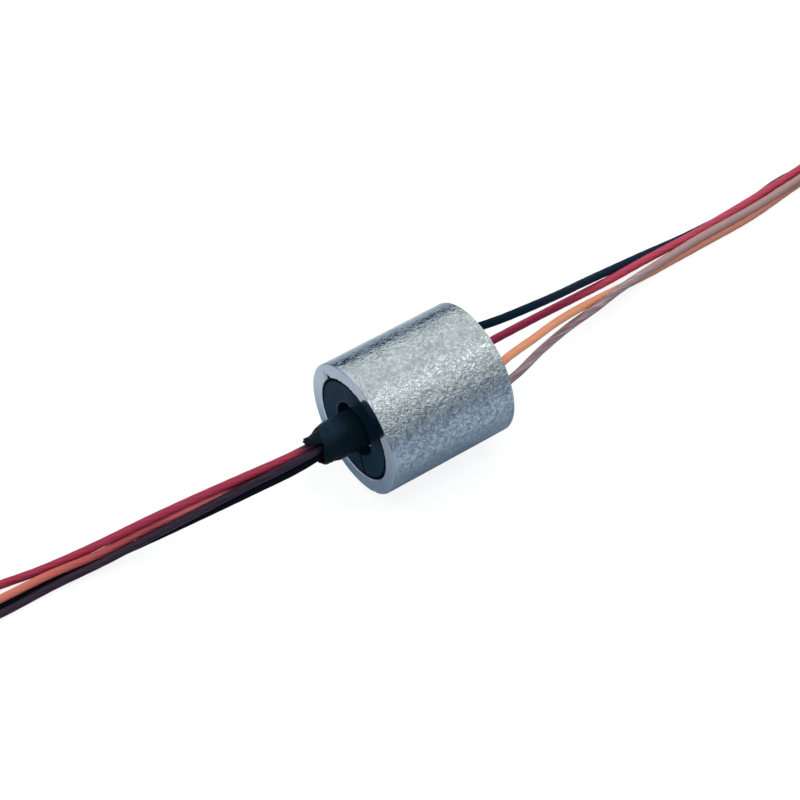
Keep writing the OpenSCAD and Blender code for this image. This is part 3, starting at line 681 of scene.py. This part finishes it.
# ---------------------------------------------------------------- heat-shrink sleeve
def shrink_sleeve():
    """The sleeve: its tube ends in a slanting shoulder, past which a crinkled tongue of it lies on the leads; a short lip below."""
    cols, rows = 240, 120
    th = np.arange(cols) * 2 * math.pi / cols
    deg = np.degrees(th)
    # where the mouth is, by angle from +Y towards +Z
    knots = [(-54, -7.02), (-20, -7.10), (10, -7.16), (34, -7.22), (46, -7.28), (54, -7.40), (60, -7.52), (68, -7.56), (78, -7.54), (86, -7.50), (92, -7.42),
             (97, -7.28), (104, -7.10), (110, -6.92), (116, -6.72), (120, -6.66), (131, -6.70), (150, -6.84), (170, -6.91), (190, -6.87), (216, -6.84), (236, -6.84), (262, -6.90), (290, -6.98), (306, -7.02)]
    ka, kv = np.array([k[0] for k in knots]), np.array([k[1] for k in knots])
    mouth = np.interp((deg + 54) % 360 - 54, ka, kv)
    mouth = mouth + np.interp(deg, np.linspace(0, 360, 73), np.append(RNG.normal(0, 0.012, 72), 0))
    x0 = -3.6
    # the shoulder, by angle, and the small lumps on the tongue past it
    shoulder = np.interp(deg, [0, 20, 40, 60, 69, 85, 100, 117, 128, 360], [6.9, 6.5, 6.26, 6.28, 6.36, 6.50, 6.61, 6.68, 6.9, 6.9])
    step_h = np.interp(deg, [0, 14, 34, 112, 126, 360], [0, 0, 0.10, 0.11, 0, 0])
    lumps = [(RNG.uniform(6.5, 7.5), RNG.uniform(36, 112), RNG.uniform(0.035, 0.075), RNG.uniform(0.015, 0.045)) for _ in range(70)]

    def outer(x, a):
        d = -x
        full = 1.235
        lower = np.cos(np.radians(a - 216.6)) * 0.5 + 0.5
        t = np.clip((d - 5.70) / 1.25, 0, 1)
        taper = full - (0.30 - 0.09 * lower) * ease(t)
        past = ease(np.clip((d - shoulder) / 0.07 + 0.5, 0, 1))
        swell = 0.025 * np.exp(-(((d - shoulder + 0.07) / 0.08) ** 2)) * (step_h > 0.01)
        tongue = -step_h * past + swell
        for ld, la, lw, lh in lumps:
            tongue = tongue + lh * np.exp(-(((d - ld) / lw) ** 2) - ((((a - la + 180) % 360 - 180) * 0.0165 / lw) ** 2)) * past * (step_h > 0.01)
        curl = 0.055 * np.exp(-(((a - 68) / 13) ** 2)) * np.clip((d - 7.36) / 0.14, 0, 1) - 0.04 * np.exp(-(((a - 66) / 16) ** 2) - (((d - 7.30) / 0.07) ** 2))
        lip = 0.055 * lower**3 * np.exp(-(((d - 6.72) / 0.10) ** 2)) + 0.03 * lower**4 * np.exp(-(((d - 6.46) / 0.06) ** 2))
        neck = -0.035 * lower**2 * np.exp(-(((d - 6.2) / 0.22) ** 2)) - 0.03 * lower**4 * np.exp(-(((d - 6.58) / 0.05) ** 2))
        wave = 0.02 * np.exp(-(((d - 4.6) / 0.5) ** 2)) * np.cos(np.radians(a * 2 + 40))
        return taper + tongue + curl + lip + neck + wave

    verts = []
    wrinkle = RNG.normal(0, 1, (16, 24))
    for i in range(rows):
        s = 1 - (1 - i / (rows - 1)) ** 1.45
        x = x0 + (mouth - x0) * s
        r = outer(x, deg)
        gi = s * 15
        g0, gt = int(min(gi, 14)), gi - int(min(gi, 14))
        row = wrinkle[g0] * (1 - ease(gt)) + wrinkle[g0 + 1] * ease(gt)
        w = np.interp(deg, np.linspace(0, 360, 25), np.append(row, row[0]))
        near = np.clip((-x - 5.2) / 1.6, 0, 1)
        r = r + w * (0.003 + 0.010 * near)
        verts.append(np.stack([x, r * np.cos(th), r * np.sin(th)], axis=1))
    last_x, last_r = verts[-1][:, 0], np.hypot(verts[-1][:, 1], verts[-1][:, 2])
    thick = 0.13
    for k, (dx, dr) in enumerate(((-0.03, -0.015), (-0.045, -0.05), (-0.04, -0.085), (-0.015, -0.115))):
        verts.append(np.stack([last_x + dx, (last_r + dr) * np.cos(th), (last_r + dr) * np.sin(th)], axis=1))
    for k in range(1, 22):
        s = k / 21
        x = (last_x - 0.0) * (1 - s) + (-5.0) * s
        r = np.minimum(outer(x, deg) - thick, 1.06)
        verts.append(np.stack([x, r * np.cos(th), r * np.sin(th)], axis=1))
    n = len(verts)
    faces, corners = grid_faces(n, cols, flip=False)
    uvs = [(j / cols, i / n) for quad in corners for i, j in quad]
    o = mesh_object("shrink_tube", np.concatenate(verts), faces, uvs)
    return o


sleeve = shrink_sleeve()
sleeve.data.materials.append(MAT["shrink_tube"])
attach(sleeve, "rotor")
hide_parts("heat_shrink_sleeve")


# ---------------------------------------------------------------- housing
def housing_tube():
    """The steel tube: turned edges with a slight burr, a V notch filed through the front rim, and a hair's unevenness."""
    lo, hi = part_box("housing")
    hx, big, bore = hi.x / MM, hi.z / MM, 3.30
    reach, at, cut = 3.825, 39.5, 0.06
    fine = [a for a in np.arange(28, 52, 0.3)] + [a for a in np.arange(56, 98, 0.4)]
    deg = np.array(sorted(set(np.round(np.concatenate([np.arange(0, 360, 0.8), fine, [at]]), 3))))
    th = np.radians(deg)
    cols = len(deg)
    edge = np.interp(deg, [0, 98, 106, 140, 148, 360], [0.07, 0.07, 0.03, 0.03, 0.07, 0.07])

    def rough(scale, seed, low, high):
        rng = np.random.default_rng(seed)
        v = rng.normal(0, 1, scale)
        a = np.interp(deg, np.linspace(0, 360, scale + 1), np.append(v, v[0]))
        return a * np.interp(deg, [0, 56, 62, 92, 100, 360], [low, low, high, high, low, low])

    d = np.radians(np.abs(deg - at))
    inner = np.where(np.abs(deg - at) < 30, np.maximum(bore, reach / (np.cos(d) + np.sin(d) / 0.903)), bore)
    burr = np.where(inner > bore + 1e-6, 0, np.maximum(rough(150, 3, 0.010, 0.030) + rough(420, 4, 0.006, 0.016), -0.02))
    rows = []
    rows.append((-hx + cut + (inner - bore) * 1.143, np.full(cols, bore)))
    rows.append((np.full(cols, -hx + cut), inner + np.maximum(burr, 0) * 0.6))
    rows.append((np.full(cols, -hx), inner + cut + burr))
    wob = rough(140, 5, 0.003, 0.003)
    nick = 0.10 * np.exp(-(((deg - 239) / 1.3) ** 2))
    for k in range(1, 7):
        s = k / 6
        r = (inner + cut + burr) * (1 - s) + (big - edge) * s
        sink = nick * np.clip((r - 3.86) / 0.1, 0, 1)
        rows.append((-hx + np.abs(wob) * 0.4 * math.sin(math.pi * s) + sink, r))
    for k in range(1, 6):
        a = math.radians(18 * k)
        rows.append((-hx + edge - edge * math.cos(a) + nick * (1 - k / 6), big - edge + edge * math.sin(a) + np.minimum(wob, 0) - nick * 0.2 * (1 - k / 6)))
    for k in range(1, 60):
        s = k / 60
        swell = np.interp(deg, np.linspace(0, 360, 41), np.append(np.random.default_rng(100 + k // 6).normal(0, 0.0015, 40), 0))
        rows.append((-hx + edge + (2 * hx - 2 * edge) * s, big - 0.002 + np.clip(swell, -0.004, 0.002)))
    for k in range(0, 6):
        a = math.radians(18 * k)
        rows.append((hx - edge + edge * math.sin(a), big - edge + edge * math.cos(a) + np.minimum(wob, 0)))
    rows.append((np.full(cols, hx), np.full(cols, bore + 0.45)))
    rows.append((np.full(cols, hx), bore + cut + np.abs(burr) * 0.4))
    rows.append((np.full(cols, hx - cut), np.full(cols, bore)))
    rows.append((np.full(cols, 0.0), np.full(cols, bore)))
    rows.append((np.full(cols, -hx + 1.2), np.full(cols, bore)))
    verts = [np.stack([x, r * np.cos(th), r * np.sin(th)], axis=1) for x, r in rows]
    n = len(verts)
    faces, corners = grid_faces(n, cols)
    uvs = [(j / cols, i / n) for quad in corners for i, j in quad]
    last = (n - 1) * cols
    for j in range(cols):
        k = (j + 1) % cols
        faces.append([last + j, last + k, k, j])
        uvs += [(j / cols, 1), ((j + 1) / cols, 1), ((j + 1) / cols, 0.99), (j / cols, 0.99)]
    o = mesh_object("housing_tube", np.concatenate(verts), faces, uvs)
    bm = bmesh.new()
    bm.from_mesh(o.data)
    bmesh.ops.recalc_face_normals(bm, faces=bm.faces)
    bm.to_mesh(o.data)
    bm.free()
    o.data.set_sharp_from_angle(angle=math.radians(33))
    o.data.materials.append(MAT["blasted_steel"])
    return o


tube = housing_tube()
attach(tube, "stator")
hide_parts("housing")


# ---------------------------------------------------------------- resin face round the stator leads
def resin_face():
    """Cast resin that has crept a little way up each lead."""
    lo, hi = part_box("rear_potting")
    x0, x1, big = lo.x / MM, hi.x / MM, hi.z / MM
    cols, rows = 160, 56
    th = np.arange(cols) * 2 * math.pi / cols
    verts = []
    for i in range(rows):
        r = big * i / (rows - 1) if i else 0.002
        y, z = r * np.cos(th), r * np.sin(th)
        h = 0.012 * np.sin(1.7 * y + 0.6) * np.cos(1.3 * z) - 0.03
        for cy, cz in LEAD_AT:
            d = np.maximum(np.hypot(y - cy, z - cz) - LEAD_R, 0)
            h = h + 0.13 * np.exp(-d / 0.10)
        d = big - r
        h = h + 0.05 * math.exp(-d / 0.09)
        verts.append(np.stack([x1 + np.minimum(h, 0.09), y, z], axis=1))
    verts.append(np.stack([np.full(cols, x0 + 0.02), big * np.cos(th), big * np.sin(th)], axis=1))
    verts.append(np.stack([np.full(cols, x0 + 0.02), 0.002 * np.cos(th), 0.002 * np.sin(th)], axis=1))
    faces, corners = grid_faces(len(verts), cols)
    uvs = [(j / cols, i / rows) for quad in corners for i, j in quad]
    return mesh_object("resin_face", np.concatenate(verts), faces, uvs)


resin = resin_face()
resin.data.materials.append(MAT["potting_resin"])
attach(resin, "stator")
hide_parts("rear_potting")


# ---------------------------------------------------------------- ties
def ribbon(points, normals, w, t):
    """A flat strip with a raised rib along its middle, swept along points; its width lies along the cross of heading and normal."""
    p = np.asarray(points, float)
    d = np.gradient(p, axis=0)
    d /= np.linalg.norm(d, axis=1)[:, None]
    nrm = np.asarray(normals, float)
    nrm = nrm - d * np.sum(nrm * d, axis=1)[:, None]
    nrm /= np.linalg.norm(nrm, axis=1)[:, None]
    side = np.cross(d, nrm)
    section = [(-0.5, -0.3), (-0.5, 0.3), (-0.47, 0.5), (-0.16, 0.5), (-0.09, 0.95), (0.0, 1.15), (0.09, 0.95), (0.16, 0.5), (0.47, 0.5), (0.5, 0.3), (0.5, -0.3), (0.47, -0.5), (0.0, -0.5), (-0.47, -0.5)]
    verts = []
    for i in range(len(p)):
        for a, c in section:
            verts.append(p[i] + side[i] * a * w + nrm[i] * c * t)
    return verts, len(section)


def hank_tie(side):
    """A paper-thin flat tie wrapped round the waist of the hank, its two tails twisted together and laid flat."""
    lo, hi = (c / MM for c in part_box(f"{side}_hank_tie"))
    cx, cy = (lo.x + hi.x) / 2, (lo.y + hi.y) / 2
    hw, z0, z1 = (hi.y - lo.y) / 2 - 0.10, lo.z + 0.16, hi.z - 0.12
    hh, cz = (z1 - z0) / 2, (z0 + z1) / 2
    r = 0.75
    loop, nrm = [], []
    corners = [(hw - r, hh - r, 0), (-(hw - r), hh - r, 90), (-(hw - r), -(hh - r), 180), (hw - r, -(hh - r), 270)]
    for ky, kz, a0 in corners:
        for a in np.linspace(a0, a0 + 90, 9):
            a = math.radians(a)
            loop.append((cx, cy + ky + r * math.cos(a), cz + kz + r * math.sin(a)))
            nrm.append((0, math.cos(a), math.sin(a)))
    dense, dn = [], []
    for i in range(len(loop)):
        a, b2 = np.array(loop[i]), np.array(loop[(i + 1) % len(loop)])
        m, n2 = np.array(nrm[i]), np.array(nrm[(i + 1) % len(loop)])
        for s in np.linspace(0, 1, max(1, math.ceil(np.linalg.norm(b2 - a) / 0.25)), endpoint=False):
            dense.append(a + (b2 - a) * s)
            dn.append(unit(m + (n2 - m) * s))
    # a closed band: the heading is taken round the loop
    p, nn = np.array(dense), np.array(dn)
    d = np.roll(p, -1, 0) - np.roll(p, 1, 0)
    d /= np.linalg.norm(d, axis=1)[:, None]
    side_v = np.cross(d, nn)
    sec = [(-0.5, -0.3), (-0.5, 0.3), (-0.47, 0.5), (-0.16, 0.5), (-0.09, 0.9), (0.0, 1.05), (0.09, 0.9), (0.16, 0.5), (0.47, 0.5), (0.5, 0.3), (0.5, -0.3), (0.47, -0.5), (0.0, -0.5), (-0.47, -0.5)]
    w, t = TIE_W, 0.14
    verts = []
    for i in range(len(p)):
        for a, c in sec:
            verts.append(p[i] + side_v[i] * a * w + nn[i] * c * t)
    rows, cols = len(p), len(sec)
    faces = []
    for i in range(rows):
        for j in range(cols):
            i2, j2 = (i + 1) % rows, (j + 1) % cols
            faces.append([i * cols + j, i * cols + j2, i2 * cols + j2, i2 * cols + j])
    # two tails twisted round each other, lying along the top of the hank
    way = HANK[side][1]
    top = hi.z - 0.02
    for k in (0, 1):
        n = 110
        q, m = [], []
        for i in range(n):
            s = i / (n - 1)
            a = math.pi * k + 2 * math.pi * 2.9 * s
            grow = 0.17 * min(1.0, s * 8 + 0.15)
            if s > 0.84:
                grow = 0.17 + (s - 0.84) * (2.0 if k else 1.4)
            lx = cx + way * (0.2 + 5.0 * s)
            ly = cy + 0.9 - 0.9 * s + grow * math.cos(a)
            lz = top + 0.28 - 0.34 * s**1.5 + 0.16 * math.sin(a)
            q.append((lx, ly, lz))
            m.append((0, math.cos(a), math.sin(a)))
        vv, c2 = ribbon(q, m, 0.46, 0.10)
        base = len(verts)
        verts += vv
        f, _ = grid_faces(n, c2)
        faces += [[base + x for x in quad] for quad in f]
        faces += [[base + j for j in range(c2)][::-1], [base + (n - 1) * c2 + j for j in range(c2)]]
    o = mesh_object(f"{side}_hank_band", verts, faces)
    o.data.materials.append(MAT["tie_sleeve"])
    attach(o, side)
    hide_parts(f"{side}_hank_tie")
    return o


bands = [hank_tie("rotor"), hank_tie("stator")]

# ---------------------------------------------------------------- floor, world and light
size = 1.2
floor = mesh_object("floor", [(-size / MM, -size / MM, FLOOR), (size / MM, -size / MM, FLOOR), (size / MM, size / MM, FLOOR), (-size / MM, size / MM, FLOOR)], [(0, 1, 2, 3)])
floor_mat = bpy.data.materials.new("floor_white")
floor_mat.use_nodes = True
fnt = floor_mat.node_tree
fnt.nodes.clear()
seen = fnt.nodes.new("ShaderNodeBsdfDiffuse")
seen.inputs["Color"].default_value = (0.28, 0.28, 0.28, 1)
glow = fnt.nodes.new("ShaderNodeEmission")
glow.inputs["Strength"].default_value = 0.84
lit = fnt.nodes.new("ShaderNodeAddShader")
fnt.links.new(seen.outputs[0], lit.inputs[0])
fnt.links.new(glow.outputs[0], lit.inputs[1])
bounce = fnt.nodes.new("ShaderNodeBsdfDiffuse")
fb = Build(fnt)
fx, fy, _ = fb.split(fb.coords())
strips = fnt.nodes.new("ShaderNodeValToRGB")
# (y in millimetres, what the steel sees there: painted shade and light, dimmer close to the part where its shadow
# falls, bright at y = 9 to 15 mm, dark at both far ends)
STRIPS = [(-100, (0.13, 0.165, 0.22)), (-80, (0.13, 0.165, 0.22)), (-62, (0.49, 0.585, 0.72)), (-24, (0.54, 0.645, 0.79)), (-14, (0.535, 0.64, 0.78)), (-9.4, (0.525, 0.625, 0.765)),
          (-7.3, (0.445, 0.535, 0.66)), (-5.6, (0.38, 0.475, 0.60)), (5, (0.40, 0.49, 0.61)), (9, (0.86, 0.92, 0.97)), (15, (0.86, 0.92, 0.97)), (19, (0.50, 0.58, 0.68)),
          (24, (0.42, 0.50, 0.60)), (30, (0.52, 0.60, 0.70)), (56, (0.54, 0.62, 0.72)), (66, (0.22, 0.27, 0.34)), (76, (0.04, 0.055, 0.08)), (100, (0.04, 0.055, 0.08))]
while len(strips.color_ramp.elements) < len(STRIPS):
    strips.color_ramp.elements.new(0.5)
for e, (at, c) in zip(strips.color_ramp.elements, STRIPS):
    e.position, e.color = (at + 100) / 200, (*c, 1)
fb.put(strips.inputs[0], fb.ramp(fy, -0.1, 0.1, smooth=False))
# painted light: the bounce is lighter in front of the face, past x = -4.8 mm
fb.put(bounce.inputs["Color"], fb.mix(fb.ramp(fx, -0.0048, -0.0080), strips.outputs[0], (0.64, 0.70, 0.79)))
ray = fnt.nodes.new("ShaderNodeLightPath")
pick = fnt.nodes.new("ShaderNodeMixShader")
fnt.links.new(ray.outputs["Is Camera Ray"], pick.inputs[0])
fnt.links.new(bounce.outputs[0], pick.inputs[1])
fnt.links.new(lit.outputs[0], pick.inputs[2])
fout = fnt.nodes.new("ShaderNodeOutputMaterial")
fnt.links.new(pick.outputs[0], fout.inputs["Surface"])
floor.data.materials.append(floor_mat)

# A light tent: dim at the horizon, bright overhead, its brightness set by the angle round the X axis.
world = bpy.data.worlds.new("studio")
SCENE.world = world
world.use_nodes = True
wnt = world.node_tree
wb = Build(wnt)
dx, dy, dz = wb.split(wb.coords("Generated"))
round_x = wb.math("DIVIDE", wb.math("ARCTAN2", dz, dy), math.pi)
tent = wnt.nodes.new("ShaderNodeValToRGB")
TENT = [(0.0, (0.03, 0.045, 0.07)), (0.034, (0.04, 0.055, 0.08)), (0.056, (0.54, 0.585, 0.64)), (0.11, (0.72, 0.76, 0.80)), (0.18, (0.88, 0.90, 0.92)), (0.30, (1.02, 1.02, 1.02)),
        (0.37, (0.92, 0.92, 0.92)), (0.43, (0.75, 0.75, 0.75)), (0.50, (0.64, 0.64, 0.64)), (0.56, (0.68, 0.68, 0.68)), (0.62, (0.76, 0.76, 0.76)), (0.70, (0.72, 0.72, 0.73)),
        (0.76, (0.69, 0.70, 0.72)), (0.80, (0.62, 0.64, 0.67)), (0.85, (0.40, 0.44, 0.49)), (0.89, (0.235, 0.27, 0.32)), (0.98, (0.215, 0.25, 0.31)), (1.0, (0.25, 0.29, 0.35))]
while len(tent.color_ramp.elements) < len(TENT):
    tent.color_ramp.elements.new(0.5)
for e, (at, c) in zip(tent.color_ramp.elements, TENT):
    e.position, e.color = at, (*c, 1)
wnt.links.new(round_x, tent.inputs[0])
ends = wb.mix(wb.ramp(wb.math("ABSOLUTE", dx), 0.80, 0.98), tent.outputs[0], (0.62, 0.66, 0.72))
background = wnt.nodes["Background"]
wnt.links.new(ends, background.inputs["Color"])
background.inputs["Strength"].default_value = 1.0


def area(name, loc, target, sx, sy, radiance, colour=(1, 1, 1)):
    d = bpy.data.lights.new(name, "AREA")
    d.shape, d.size, d.size_y, d.energy, d.color = "RECTANGLE", sx, sy, radiance * math.pi * sx * sy, colour
    o = bpy.data.objects.new(name, d)
    SCENE.collection.objects.link(o)
    o.location = loc
    o.rotation_euler = (Vector(target) - Vector(loc)).to_track_quat("-Z", "Y").to_euler()
    return o


area("softbox", (0.10, -0.125, 0.5), (0.10, 0, 0), 1.0, 0.11, 1.15)
SCENE.view_settings.view_transform = "Standard"
SCENE.view_settings.look = "None"
SCENE.view_settings.exposure = 0.0
